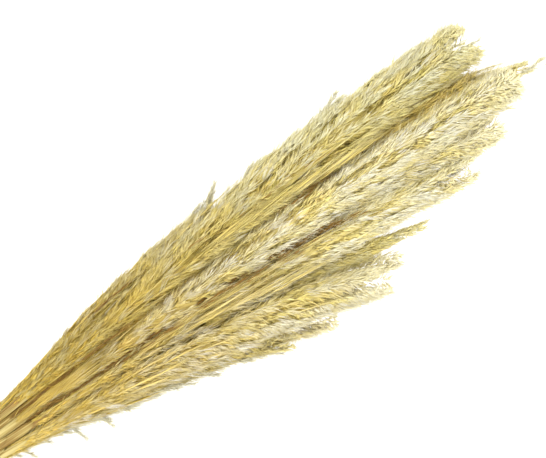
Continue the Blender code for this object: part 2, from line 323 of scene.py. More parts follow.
# Seams of painted shade, dark brown strands along the lines where the masses of the fan part, and
# golden stalks there, as lines of picture points
Line = namedtuple("Line", "half places")
Marks = namedtuple("Marks", "lines lengths widths shares brown")
SHADE_SEAMS = Marks(
    lines=(
        Line(1.3 * MM, ((11, 433), (46, 406), (74, 392), (104, 371), (138, 348), (167, 328))),
        Line(1.2 * MM, ((195, 308), (218, 290), (238, 280), (259, 268))),
        Line(1.7 * MM, ((266, 264), (278, 256), (304, 242), (321, 233), (344, 222), (359, 216))),
        Line(0.8 * MM, ((188, 253), (207, 238), (233, 223), (247, 214), (262, 202))),
        Line(0.8 * MM, ((270, 194), (278, 187), (301, 171), (322, 160))),
        Line(0.8 * MM, ((267, 213), (287, 204), (308, 190), (330, 178))),
        Line(0.8 * MM, ((78, 361), (94, 348), (101, 343), (120, 329))),
        Line(0.9 * MM, ((0, 426), (26, 407), (45, 390), (57, 383), (69, 372))),
        Line(0.8 * MM, ((85, 324), (94, 315), (110, 301), (126, 288))),
    ),
    lengths=(9 * MM, 26 * MM),
    widths=(0.8 * MM, 1.6 * MM),
    shares=(1.15, 1.34),
    brown=1.0,
)
STALKS = Marks(
    lines=(
        Line(4.0 * MM, ((4, 429), (30, 409), (46, 399), (64, 388))),
        Line(2.2 * MM, ((125, 362), (150, 345), (170, 330), (226, 297), (265, 272), (300, 250))),
        Line(1.4 * MM, ((172, 338), (206, 320), (244, 301), (280, 287))),
        Line(1.3 * MM, ((200, 254), (238, 230), (265, 211), (302, 189), (342, 165))),
    ),
    lengths=(35 * MM, 90 * MM),
    widths=(0.8 * MM, 1.7 * MM),
    shares=(1.0, 1.14),
    brown=0.2,
)
MARK_TRIES = 4200
MARK_OPEN = 0.04
MARK_SUNK = 0.97
MARK_SWAY = 0.02
MARK_DEPTH = 0.4

# The core under the husks
CORE_SHARE = 0.50
CORE_SIDES = 28
CORE_STEP = 8 * MM
CORE_SHORT = 24 * MM
CORE_NARROWS = 4
CORE_END = 0.1
CORE_RIPPLE = 0.06
CORE_RIDGE = 0.08
# Painted shade: the core is coloured deep gold and dark in its gaps, as if in the shade of the
# husks over it
CORE_SHADED_DEPTH = 0.1
CORE_SHADE = 0.5
CORE_SHADE_VARIES = 0.2

# How golden the husks are, partly their own gold and partly painted shade: fully so inside, less
# towards the plume's wall, more in a shut-in valley
GOLD_BELOW = 0.62
PALE_ABOVE = 0.99
# Painted shade: where the wall is shut in, depth falls towards this share and the husks take the
# deep colour; the open wall stays pale
VALLEY_SHADE = 0.15
OPEN_LIT_PALE = 1.1
FOOT_TO = 100 * MM
FOOT_FADE = 430 * MM

# The golden streak: its middle along X and across Y in millimetres, its width and its ends
STREAK_LINE = ((180, 28), (289, 42), (400, 46), (505, 45), (639, 36), (700, 30))
STREAK_HALF = 13 * MM
STREAK_FADE = 60 * MM
STREAK_GOLD = 0.85

# The finish of the plumes: colours deep, body, pale and blush, and what the tone is made of
STRAWS = {
    "cream": ((0.79, 0.69, 0.26), (0.81, 0.76, 0.47), (0.83, 0.82, 0.70), (0.85, 0.83, 0.78)),
    "olive": ((0.69, 0.59, 0.18), (0.70, 0.66, 0.36), (0.72, 0.70, 0.49), (0.73, 0.71, 0.58)),
    "gold": ((0.73, 0.57, 0.16), (0.76, 0.65, 0.27), (0.79, 0.71, 0.39), (0.80, 0.75, 0.48)),
}
FOOT_TINT = (0.74, 0.62, 0.34)
# Painted shade: the colour is multiplied by this tint, up to this share, in the gaps between fine
# streaks deep in the plume
GAP_SHADE_TINT = (1.0, 0.80, 0.28)
GAP_SHADE_DARK = 0.5
# Painted shade: the dark brown of the seams along the partings of the masses; the golden stalks
# take a little of it too
SEAM_SHADE_BROWN = (0.20, 0.11, 0.02)
# Painted shade: gold added at each husk's root, where the husks shade one another
ROOT_SHADE_GOLD = 0.12
FLECK_GOLD = 0.16
FLECK_RUN = 20 * MM
STRAW_STOPS = (0.05, 0.40, 0.68)
TONE_OF_SHADE = 0.24
TONE_OF_TUFT = 0.13
TONE_OF_POINT = 0.18
TONE_OF_BROAD = 0.16
GOLD_OF_FINE = (0.6, 0.5)
STRAW_FINE = (28, 620, 40)
STRAW_BROAD = (9, 60, 40)
STRAW_FLECK = (190, 620, 40)
STRAW_RELIEF = 0.2 * MM
STRAW_ROUGHNESS = (0.6, 0.8)
STRAW_GLOW = 0.25
STRAW_GLOW_COLOUR = (0.8, 0.75, 0.5)
STRAW_GLOW_DEPTH = 2.5 * MM

# The finish of the canes and their leaf sheaths
CANE_DEEP = (0.16, 0.09, 0.02)
CANE_BODY = (0.30, 0.21, 0.06)
CANE_PALE = (0.40, 0.31, 0.11)
CANE_STOPS = (0.3, 0.5, 0.72)
SHEATH_DEEP = (0.21, 0.13, 0.03)
SHEATH_BODY = (0.34, 0.26, 0.08)
SHEATH_PALE = (0.45, 0.37, 0.15)
SHEATH_STOPS = (0.3, 0.5, 0.7)
JOINT_BROWN = (0.28, 0.15, 0.04)
JOINT_BROWN_SHARE = 0.7
HOLLOW_BROWN = (0.36, 0.24, 0.09)
CANE_TONE = 0.5
CANE_TONE_VARIES = 0.25
CANE_FINE = (14, 900, 40)
CANE_BROAD = (12, 120, 40)
CANE_RELIEF = 0.15 * MM
CANE_ROUGHNESS = (0.34, 0.69)

# The finish of the band
BAND_DEEP = (0.40, 0.26, 0.12)
BAND_PALE = (0.54, 0.39, 0.22)
BAND_STOPS = (0.35, 0.65)
BAND_GRAIN = (900, 900, 900)
BAND_BLOOM = (90, 90, 90)
BAND_RELIEF = 0.05 * MM
BAND_ROUGHNESS = (0.4, 0.7)

# What all the finishes share
SHEEN = 0.2
RELIEF_STRENGTH = 0.6
PATTERN_RANGE = (0.36, 0.64)
FINE_DETAIL = 3.0
BROAD_DETAIL = 2.0

# The photographed view: the middle of the picture as a place on the fan, the size of one pixel
PIXEL = 1.05 * MM
PICTURE_WIDTH = 546
PICTURE_MIDDLE = (273, 229)
ORIGIN_PIXEL = (0, 425)
ORIGIN_PLACE = (65 * MM, 12 * MM)
ROLL = math.radians(34)
CAMERA_HEIGHT = 2.6
SENSOR = 36
FOCUS_HEIGHT = 45 * MM

# Light and floor
SKY_COLOUR = (0.98, 0.972, 0.965)
SKY_STRENGTH = 2.22
SUN_COLOUR = (0.96, 0.98, 1)
SUN_STRENGTH = 0.25
SUN_SOFTNESS = math.radians(25)
SUN_FROM = (0.4, -0.85, 1.75)
FLOOR_SIZE = 12
FLOOR_GREY = (0.3, 0.3, 0.3)
FLOOR_GLOW = 1.0
FLOOR_GRAIN = (400, 400, 400)
FLOOR_RELIEF = 0.02 * MM
FLOOR_ROUGHNESS = (0.85, 0.95)


def eased(share):
    share = np.clip(share, 0.0, 1.0)
    return share * share * (3 - 2 * share)


def normalised(vectors):
    return vectors / np.linalg.norm(vectors, axis=-1, keepdims=True)


def between(draw, ends, count):
    return draw.uniform(ends[0], ends[1], count)


def tip_of(reed):
    return reed.tip * MM


def base_of(reed):
    return (reed.tip - reed.length) * MM


def foot_of(reed):
    """Where the fur of the plume's foot starts, on the culm."""
    return base_of(reed) - FOOT_FUR


def end_of(reed):
    """Where the plume's last hairs end."""
    return tip_of(reed) + TIP_OVER


def fan_share(reed, along):
    share = along / tip_of(reed)
    return (1 + FAN_START) * share * share / (share + FAN_START)


def rise_share(reed, along):
    return eased(along / (RISE_SHARE * tip_of(reed)))


def bundled():
    """Each culm's place in the band: close together as round canes lie, in the fan's own order."""
    spacing = 2 * CULM_RADIUS + CULM_GAP
    spots = [
        LOOSENING * Vector((
            (reed.across - reed.bend) * MM * fan_share(reed, ORDER_STATION),
            (reed.height * MM - FAN_MIDDLE_HEIGHT) * rise_share(reed, ORDER_STATION),
        ))
        for reed in REEDS
    ]
    for _ in range(TIGHTENING_ROUNDS):
        spots = [spot * TIGHTENING for spot in spots]
        for _ in range(PARTING_ROUNDS):
            for i, first in enumerate(spots):
                for second in spots[i + 1:]:
                    apart = second - first
                    short = spacing - apart.length
                    if short > 0:
                        push = apart.normalized() * short / 2
                        first -= push
                        second += push
    closest = min((b - a).length for i, a in enumerate(spots) for b in spots[i + 1:])
    middle = sum(spots, Vector((0, 0))) / len(spots)
    return [(spot - middle) * spacing / closest for spot in spots]


BUNDLE = dict(zip((reed.name for reed in REEDS), bundled()))
LOWEST_END = min(
    SPLAY_AT_ENDS * (spot.x * math.sin(TWIST_AT_ENDS) + spot.y * math.cos(TWIST_AT_ENDS))
    for spot in BUNDLE.values()
)
END_HEIGHT = CULM_RADIUS + STEM_END_CLEAR - LOWEST_END


def spine(reed, along):
    """The middle of the reed at stations along X, one row a station."""
    spot = BUNDLE[reed.name]
    back = np.clip(-along / STEM_BELOW_BAND, 0, None)
    splay = 1 + (SPLAY_AT_ENDS - 1) * back * back
    turn = TWIST_AT_ENDS * back * back
    across = splay * (spot.x * np.cos(turn) - spot.y * np.sin(turn))
    height = splay * (spot.x * np.sin(turn) + spot.y * np.cos(turn))
    height = BAND_HEIGHT + (END_HEIGHT - BAND_HEIGHT) * eased(back) + height
    ahead = np.clip(along, 0, None)
    straight = (reed.across - reed.bend) * MM
    across = across + (straight - spot.x) * fan_share(reed, ahead)
    across = across + reed.bend * MM * (ahead / tip_of(reed)) ** BEND_POWER
    low = BAND_HEIGHT + spot.y
    height = height + (reed.height * MM - low) * rise_share(reed, ahead)
    return np.stack([along, across, height], axis=-1)


def frame_at(reed, along):
    """The spine's points, and the side and up directions square to it."""
    forward = normalised(spine(reed, along + STEP) - spine(reed, along - STEP))
    side = normalised(np.cross([0.0, 0.0, 1.0], forward))
    return spine(reed, along), side, np.cross(forward, side)


def culm_radius(along):
    return CULM_RADIUS + (CULM_TOP_RADIUS - CULM_RADIUS) * eased(along / CULM_TAPER_LENGTH)


def girth(reed, along):
    """The radius of the reed at a station: its culm, then the fur of its foot, then its plume."""
    share = (along - base_of(reed)) / (reed.length * MM)
    swell = BASE_GIRTH + (1 - BASE_GIRTH) * eased(share / FULL_GIRTH_AT)
    taper = BLUNT_TAPER + SLENDER_TAPER * reed.slender
    narrowing = 1 - taper * eased((share - TAPER_FROM) / (1 - TAPER_FROM))
    sleeve = LEAST_SLEEVE * eased(1 + (along - base_of(reed)) / FOOT_FUR)
    plume = np.maximum(reed.girth * MM * swell * narrowing, culm_radius(along) + sleeve)
    plume = np.where(share > 1 + TIP_MARGIN, 0.0, plume)
    return np.where(share < 0, culm_radius(along) + sleeve, plume)


def room(reed, along, direction, reach):
    """How far the reed may stand out from its spine before it is well into a neighbour's half."""
    here = spine(reed, along)
    mine = girth(reed, along)
    for other in REEDS:
        if other is reed:
            continue
        theirs = girth(other, along)
        apart = spine(other, along) - here
        distance = np.linalg.norm(apart, axis=-1)
        wall = distance * mine / (mine + theirs + TINY) + OVERLAP
        facing = (direction * apart).sum(axis=-1) / distance
        limit = wall / np.maximum(facing, TINY)
        reach = np.where((theirs > 0) & (facing > 0), np.minimum(reach, limit), reach)
    return np.maximum(reach, LEAST_SLEEVE)


def headed(side, up, angle):
    return side * np.cos(angle)[..., None] + up * np.sin(angle)[..., None]


def end_rounding(reed, along):
    """Draws the husks in towards a plume's end, soon on a slender one and late on a blunt one."""
    length = ROUND_BLUNT + (ROUND_SLENDER - ROUND_BLUNT) * reed.slender
    left = np.clip((end_of(reed) - along) / length, 0, 1)
    return ROUND_LEAST + (1 - ROUND_LEAST) * np.sqrt(1 - (1 - left) ** 2)


def wall_at(reed, along, angle):
    """How far the plume reaches out in that direction; more where it can puff up over others."""
    _, side, up = frame_at(reed, along)
    direction = headed(side, up, angle)
    full = girth(reed, along)
    reach = room(reed, along, direction, full)
    return reach + (full - reach) * FLUFF_UP * np.clip(direction[:, 2], 0, 1), direction


def out_from(reed, along, direction, distance):
    """Points at a distance from the stem, none of them below the table."""
    points = spine(reed, along) + direction * distance[:, None]
    points[:, 2] = np.maximum(points[:, 2], TABLE_GAP)
    return points


def placed(reed, along, angle, share):
    """Points of a plume, at that share of the way to its wall in that direction."""
    reach, direction = wall_at(reed, along, angle)
    return out_from(reed, along, direction, share * reach * end_rounding(reed, along))


def openness_map(reed):
    """How open the plume's wall is by station and direction, from 0, shut in, to 1, bare."""
    stations = np.linspace(foot_of(reed), end_of(reed), OPEN_STATIONS)
    along = np.repeat(stations, OPEN_ANGLES)
    angle = np.tile(np.arange(OPEN_ANGLES) * math.tau / OPEN_ANGLES, OPEN_STATIONS)
    reach, direction = wall_at(reed, along, angle)
    points = spine(reed, along) + direction * reach[:, None]
    others = [
        (spine(other, along) - points, OPEN_BODY * girth(other, along))
        for other in REEDS
        if other is not reed
    ]
    clear_views = np.zeros(len(along))
    for view in np.arange(OPEN_VIEWS) * math.tau / OPEN_VIEWS:
        line = np.array([0, math.cos(view), math.sin(view)])
        clear = direction @ line > OPEN_GRAZE
        for apart, radius in others:
            ahead = apart @ line
            aside = (apart * apart).sum(axis=-1) - ahead * ahead
            clear &= (ahead < 0) | (aside > radius * radius)
        clear_views += clear
    return np.clip(clear_views * 2 / OPEN_VIEWS, 0, 1).reshape(OPEN_STATIONS, OPEN_ANGLES)


def openness_at(reed, chart, along, angle, draw):
    """The map's value near each place, softened by a small random shift."""
    start = foot_of(reed)
    row = (along - start) / (end_of(reed) - start) * (OPEN_STATIONS - 1)
    row = np.clip(np.round(row + draw.random(len(row)) - 0.5), 0, OPEN_STATIONS - 1).astype(int)
    column = angle / math.tau * OPEN_ANGLES + draw.random(len(row)) - 0.5
    column = np.mod(np.round(column), OPEN_ANGLES).astype(int)
    return chart[row, column]


def fringe_at(reed, turn):
    """How near a direction is to the fan's lower edge, on the plume that is bare there."""
    return (reed.name == BARE_REED) * np.clip(-np.cos(turn), 0, 1) ** 2


def fall_at(reed, along, turn):
    """The angle by which a strand on top of the plume turns to the fan's lower edge."""
    share = eased((along - base_of(reed)) / (FALL_FULL_AT * reed.length * MM))
    return math.radians(FALLS.get(reed.name, 0)) * share * np.sin(turn)


def far_at(along):
    """How far a place is from the golden feet of the plumes, from 0 to 1."""
    return eased((along - FOOT_TO) / FOOT_FADE)


def streak_at(reed, along, direction, distance):
    """How golden the long streak between the two great masses makes a place on the bunch."""
    line = np.array(STREAK_LINE) * MM
    across = out_from(reed, along, direction, distance)[:, 1]
    off = across - np.interp(along, line[:, 0], line[:, 1])
    fade = eased((along - line[0, 0]) / STREAK_FADE) * eased((line[-1, 0] - along) / STREAK_FADE)
    on_top = np.clip(direction[:, 2], 0, 1)
    return STREAK_GOLD * fade * np.exp(-((off / STREAK_HALF) ** 2)) * on_top


def deselect():
    for obj in bpy.context.selected_objects:
        obj.select_set(False)


Shape = namedtuple("Shape", "points faces")


def taken_apart(obj):
    """A modelled piece's points and triangles; the piece is removed, as only copies are kept."""
    mesh = obj.data
    points = np.empty(len(mesh.vertices) * 3)
    mesh.vertices.foreach_get("co", points)
    faces = np.empty(len(mesh.polygons) * 3, dtype=int)
    mesh.polygons.foreach_get("vertices", faces)
    bpy.data.objects.remove(obj)
    bpy.data.meshes.remove(mesh)
    return Shape(points.reshape(-1, 3), faces.reshape(-1, 3))


def opened():
    """A new primitive with its place and turn applied, open in edit mode."""
    bpy.ops.object.transform_apply(location=True, rotation=True, scale=True)
    bpy.ops.object.mode_set(mode="EDIT")
    return bpy.context.object


def finished(piece):
    """Leaves edit mode with every face a triangle that points out, and takes the piece apart."""
    bpy.ops.mesh.select_all(action="SELECT")
    bpy.ops.mesh.normals_make_consistent(inside=False)
    bpy.ops.mesh.quads_convert_to_tris()
    bpy.ops.object.mode_set(mode="OBJECT")
    return taken_apart(piece)


def add_tube(sides, fill):
    """A tube of radius 1 from 0 to 1 along X, open in edit mode."""
    deselect()
    bpy.ops.mesh.primitive_cylinder_add(
        vertices=sides,
        radius=1,
        depth=1,
        end_fill_type=fill,
        location=(0.5, 0, 0),
        rotation=(0, math.pi / 2, 0),
    )
    return opened()


def cut_across(stations):
    """Adds a ring of edges at each of these places along X."""
    for station in stations:
        bpy.ops.mesh.select_all(action="SELECT")
        bpy.ops.mesh.bisect(plane_co=(station, 0, 0), plane_no=(1, 0, 0))


def select_where(piece, wanted):
    """Selects the faces whose middle passes the test, from edit mode."""
    bpy.ops.mesh.select_all(action="DESELECT")
    bpy.ops.object.mode_set(mode="OBJECT")
    for face in piece.data.polygons:
        face.select = wanted(face.center)
    bpy.ops.object.mode_set(mode="EDIT")
    bpy.ops.mesh.select_mode(type="FACE")


def apply_modifier(piece, kind, **settings):
    """Puts a modifier with those settings on a piece and applies it, from edit mode."""
    bpy.ops.object.mode_set(mode="OBJECT")
    modifier = piece.modifiers.new(kind, kind)
    for name, value in settings.items():
        setattr(modifier, name, value)
    bpy.ops.object.modifier_apply(modifier=modifier.name)
    bpy.ops.object.mode_set(mode="EDIT")


def model_husk():
    """A slim pointed husk, 1 long along X and 1 wide, with three sides, closed at both ends."""
    deselect()
    point_length = 1 - HUSK_MIDDLE
    bpy.ops.mesh.primitive_cone_add(
        vertices=3,
        radius1=0.5,
        radius2=0,
        depth=point_length,
        end_fill_type="NOTHING",
        location=(HUSK_MIDDLE + point_length / 2, 0, 0),
        rotation=(0, math.pi / 2, 0),
    )
    husk = opened()
    bpy.ops.mesh.select_mode(type="VERT")
    bpy.ops.mesh.select_all(action="DESELECT")
    bpy.ops.mesh.select_non_manifold()
    bpy.ops.mesh.extrude_region_move(TRANSFORM_OT_translate={"value": (-HUSK_MIDDLE, 0, 0)})
    bpy.ops.mesh.merge(type="CENTER")
    return finished(husk)


def model_cane():
    """A cane, 1 long along X and 1 in radius: hollow at its cut end, with swollen joints."""
    cane = add_tube(CANE_SIDES, "NGON")
    select_where(cane, lambda middle: middle.x < CAP_WITHIN)
    bpy.ops.mesh.inset(thickness=CANE_WALL)
    bpy.ops.mesh.extrude_region_move(TRANSFORM_OT_translate={"value": (CANE_HOLLOW, 0, 0)})
    stations = [k / CANE_STATIONS for k in range(2, CANE_STATIONS)]
    for joint in JOINTS:
        stations += [joint - JOINT_HALF, joint, joint + JOINT_HALF]
    cut_across(stations)
    for joint in JOINTS:
        select_where(cane, lambda middle: abs(middle.x - joint) < JOINT_HALF)
        bpy.ops.mesh.select_mode(type="VERT")
        bpy.ops.transform.resize(
            value=(1, JOINT_SWELL, JOINT_SWELL), center_override=(joint, 0, 0)
        )
    return finished(cane)


def model_sheath():
    """A split leaf sheath, 1 long along X and 1 in radius, with a slanted mouth."""
    sheath = add_tube(SHEATH_SIDES, "NOTHING")
    cut_across([k / SHEATH_STATIONS for k in range(1, SHEATH_STATIONS)])
    select_where(
        sheath, lambda middle: middle.z > SHEATH_SPLIT_ABOVE and middle.x > 1 - SHEATH_SPLIT
    )
    bpy.ops.mesh.delete(type="FACE")
    bpy.ops.mesh.select_all(action="SELECT")
    bpy.ops.mesh.bisect(
        plane_co=(1 - SHEATH_SLANT, 0, 0), plane_no=(1, 0, SHEATH_SLANT), clear_outer=True
    )
    apply_modifier(sheath, "SOLIDIFY", thickness=SHEATH_WALL, offset=1)
    return finished(sheath)


def model_turn():
    """One turn of the elastic band: a ring round X, 1 wide and 1 in radius, with soft edges."""
    turn = add_tube(2 * BAND_POINTS, "NOTHING")
    apply_modifier(turn, "SOLIDIFY", thickness=1, offset=1)
    apply_modifier(
        turn,
        "BEVEL",
        width=BAND_EDGE,
        segments=BAND_EDGE_CUTS,
        limit_method="ANGLE",
        angle_limit=SHARP,
    )
    return finished(turn)


# A direction along which no strand runs, from which the strands' own sides are measured
ASKEW = (0.0, 0.35, 0.94)

# What a part carries at each point for its finish: these values, or one for all, and its flow
VALUES = ("shade", "tuft", "depth", "far", "point")
Part = namedtuple("Part", ("points", "faces", *VALUES, "flow"))
Lie = namedtuple("Lie", "roots middles ends widths rolls")
Look = namedtuple("Look", "shade tuft depth far flow")


def flow_of(reed, along, angle, radius):
    """Where a place is on the reed rolled out flat: along it, round it, and a row of its own."""
    turned = np.mod(angle, math.tau) * radius
    return np.stack([along, turned, np.full(len(along), float(reed.name))], axis=-1)


def plume_flow(reed, along, angle):
    return flow_of(reed, along, angle, reed.girth * MM)


def straight_middles(roots, ends):
    return roots * (1 - HUSK_MIDDLE) + ends * HUSK_MIDDLE


def bowed(roots, ends, draw):
    """The middles of strands, each a little off its straight line, and how far each is rolled."""
    middles = straight_middles(roots, ends)
    middles = middles + draw.normal(0, HUSK_BOW, middles.shape)
    return middles, draw.uniform(0, math.tau, len(roots))


def copied(shape, lie, look):
    """Copies of a shape along X, each bent along its own line and turned, with its own looks."""
    roots, ends = lie.roots, lie.ends
    forward = normalised(ends - roots)
    flat = normalised(np.cross(forward, ASKEW))
    deep = np.cross(forward, flat)
    first = flat * np.cos(lie.rolls)[:, None] + deep * np.sin(lie.rolls)[:, None]
    second = np.cross(forward, first)
    along = shape.points[:, 0]
    bows = lie.middles - straight_middles(roots, ends)
    hump = along * (1 - along) / (HUSK_MIDDLE * (1 - HUSK_MIDDLE))
    line = roots[:, None] + (ends - roots)[:, None] * along[None, :, None]
    line = line + bows[:, None] * hump[None, :, None]
    wide = first[:, None] * shape.points[None, :, 1, None]
    thick = second[:, None] * shape.points[None, :, 2, None]
    points = line + (wide + thick) * lie.widths[:, None, None]
    points[..., 2] = np.maximum(points[..., 2], 0.0)
    count, each = len(roots), len(shape.points)
    faces = shape.faces[None] + (np.arange(count) * each)[:, None, None]
    spread = [np.repeat(np.broadcast_to(values, count), each) for values in look[:4]]
    point = np.tile(along, count)
    flow = np.repeat(look.flow, each, axis=0)
    flow[:, 0] += point * FLECK_RUN
    return Part(points.reshape(-1, 3), faces.reshape(-1, 3), *spread, point, flow)


def wrapped(reed, shape, start, end, slide, fit, turn):
    """A shape along X bent along the reed between two stations, as thick as the cane times fit."""
    x = shape.points[:, 0]
    x = x + slide * x * (1 - x)
    along = start + (end - start) * x
    here, side, up = frame_at(reed, along)
    angle = np.arctan2(shape.points[:, 2], shape.points[:, 1]) + turn
    radius = np.hypot(shape.points[:, 1], shape.points[:, 2]) * culm_radius(along)
    radius = radius * (fit[0] + (fit[1] - fit[0]) * x * x)
    points = here + headed(side, up, angle) * radius[:, None]
    points[:, 2] = np.maximum(points[:, 2], TABLE_GAP)
    return points, flow_of(reed, along, angle, CULM_RADIUS)


def cane_of(reed, cane, draw):
    """The reed's cane, from its cut end to the foot of its plume."""
    cut = -STEM_BELOW_BAND - draw.uniform(-1, 1) * STEM_END_SPREAD / 2
    end = base_of(reed) + CULM_INTO_PLUME
    slide = draw.uniform(-JOINT_SLIDE, JOINT_SLIDE)
    points, flow = wrapped(reed, cane, cut, end, slide, (1, 1), draw.uniform(0, math.tau))
    x = cane.points[:, 0]
    stain = np.max([1 - np.abs(x - joint) / JOINT_STAIN for joint in JOINTS], axis=0)
    inner = np.hypot(cane.points[:, 1], cane.points[:, 2]) < 1 - CANE_WALL / 2
    outside = np.where(inner & (x < CANE_HOLLOW * 2), 0.0, 1.0)
    return Part(points, cane.faces, draw.random(), np.clip(stain, 0, 1), outside, 0, 0, flow)


def sheaths_of(reed, sheath, draw):
    """The remains of the reed's leaf sheaths."""
    parts = []
    for start, length in SHEATHS:
        start = start + draw.uniform(-1, 1) * SHEATH_SHIFT
        end = start + length * draw.uniform(*SHEATH_VARIES)
        points, flow = wrapped(reed, sheath, start, end, 0, SHEATH_FIT, draw.uniform(0, math.tau))
        parts.append(Part(points, sheath.faces, draw.random(), 0, 1, 1, 1, flow))
    return parts


def band_outline(clearance):
    """The corners of a line drawn tight round the bundled culms, at that clearance from them."""
    step = math.tau / BAND_POINTS
    points = []
    for k in range(BAND_POINTS):
        outward = Vector((math.cos(k * step), math.sin(k * step)))
        sideways = Vector((-outward.y, outward.x))
        following = outward * math.cos(step) + sideways * math.sin(step)
        here, after = (
            max(map(direction.dot, BUNDLE.values())) + CULM_RADIUS + clearance
            for direction in (outward, following)
        )
        aside = (after - here * math.cos(step)) / math.sin(step)
        points.append(outward * here + sideways * aside)
    return np.array([tuple(point) for point in points])


def band_turns(turn):
    """The turns of the elastic band, each drawn round the canes with a slight wave."""
    around = np.arctan2(turn.points[:, 2], turn.points[:, 1])
    place = np.mod(around / math.tau, 1) * BAND_POINTS
    steps = np.arange(BAND_POINTS + 1)
    inner, outer = (
        np.array([np.interp(place, steps, np.append(row, row[0])) for row in outline.T])
        for outline in (band_outline(BAND_GAP), band_outline(BAND_GAP + BAND_THICKNESS))
    )
    out = np.hypot(turn.points[:, 1], turn.points[:, 2]) - 1
    across, up = inner * (1 - out) + outer * out
    parts = []
    for k in range(BAND_TURNS):
        middle = (k - (BAND_TURNS - 1) / 2) * BAND_TURN_WIDTH
        wave = BAND_WAVE * np.sin(around * 2 + k)
        along = middle + wave + (turn.points[:, 0] - 0.5) * BAND_TURN_WIDTH * BAND_FILL
        points = np.stack([along, across, BAND_HEIGHT + up], axis=-1)
        parts.append(Part(points, turn.faces, 0, 0, 0, 0, 0, points))
    return parts


Branches = namedtuple("Branches", "start run cut angle swing lift slope tuft lean over")


def branches_of(reed, draw):
    """Every branch of the plume: where it leaves the stem, how far it runs, and which way."""
    length = reed.length * MM + FOOT_FUR
    count = int(length / BRANCH_STEP)
    share = (np.arange(count) + draw.random(count)) / count * LAST_BRANCH
    start = foot_of(reed) + share * length
    slope = between(draw, BRANCH_SLOPES, count)
    lift = LIFT_LEAST + (1 - LIFT_LEAST) * np.sqrt(draw.random(count))
    widest = np.maximum(girth(reed, start), girth(reed, start + 2 * reed.girth * MM))
    run = BRANCH_BOW * lift * np.maximum(widest, BRANCH_REACH) / slope
    cut = np.clip((tip_of(reed) - start) / run, BRANCH_CUT, 1)
    angle = GOLDEN_ANGLE * np.arange(count) + draw.normal(0, ANGLE_JITTER, count)
    swing = draw.normal(0, SWINGS, count)
    lean = draw.normal(0, BRANCH_LEAN, count)
    short = RAGGED_OVER[0] * (RAGGED_BLUNT + reed.slender)
    over = short + (RAGGED_OVER[1] - short) * draw.random(count) ** RAGGED_FEW
    return Branches(start, run, cut, angle, swing, lift, slope, draw.random(count), lean, over)


def hair_or_husk(draw, hair, hair_range, husk_range):
    """A random size for each strand, from the range of its kind."""
    count = len(hair)
    return np.where(hair, between(draw, hair_range, count), between(draw, husk_range, count))


def husk_keeping(share, turn, openness, fringe):
    """The chance that a husk is kept."""
    keep = np.maximum(openness / OPEN_FULL, SHUT_KEEP)
    keep = keep * np.where(share < DEEP_SHARE, DEEP_KEEP, 1.0)
    keep = keep * (SIDE_KEEP + (1 - SIDE_KEEP) * np.sin(turn) ** 2)
    keep = keep * np.where(np.sin(turn) < UNDERSIDE, UNDER_KEEP, 1.0)
    return keep * (1 - FRINGE_BARE * fringe)


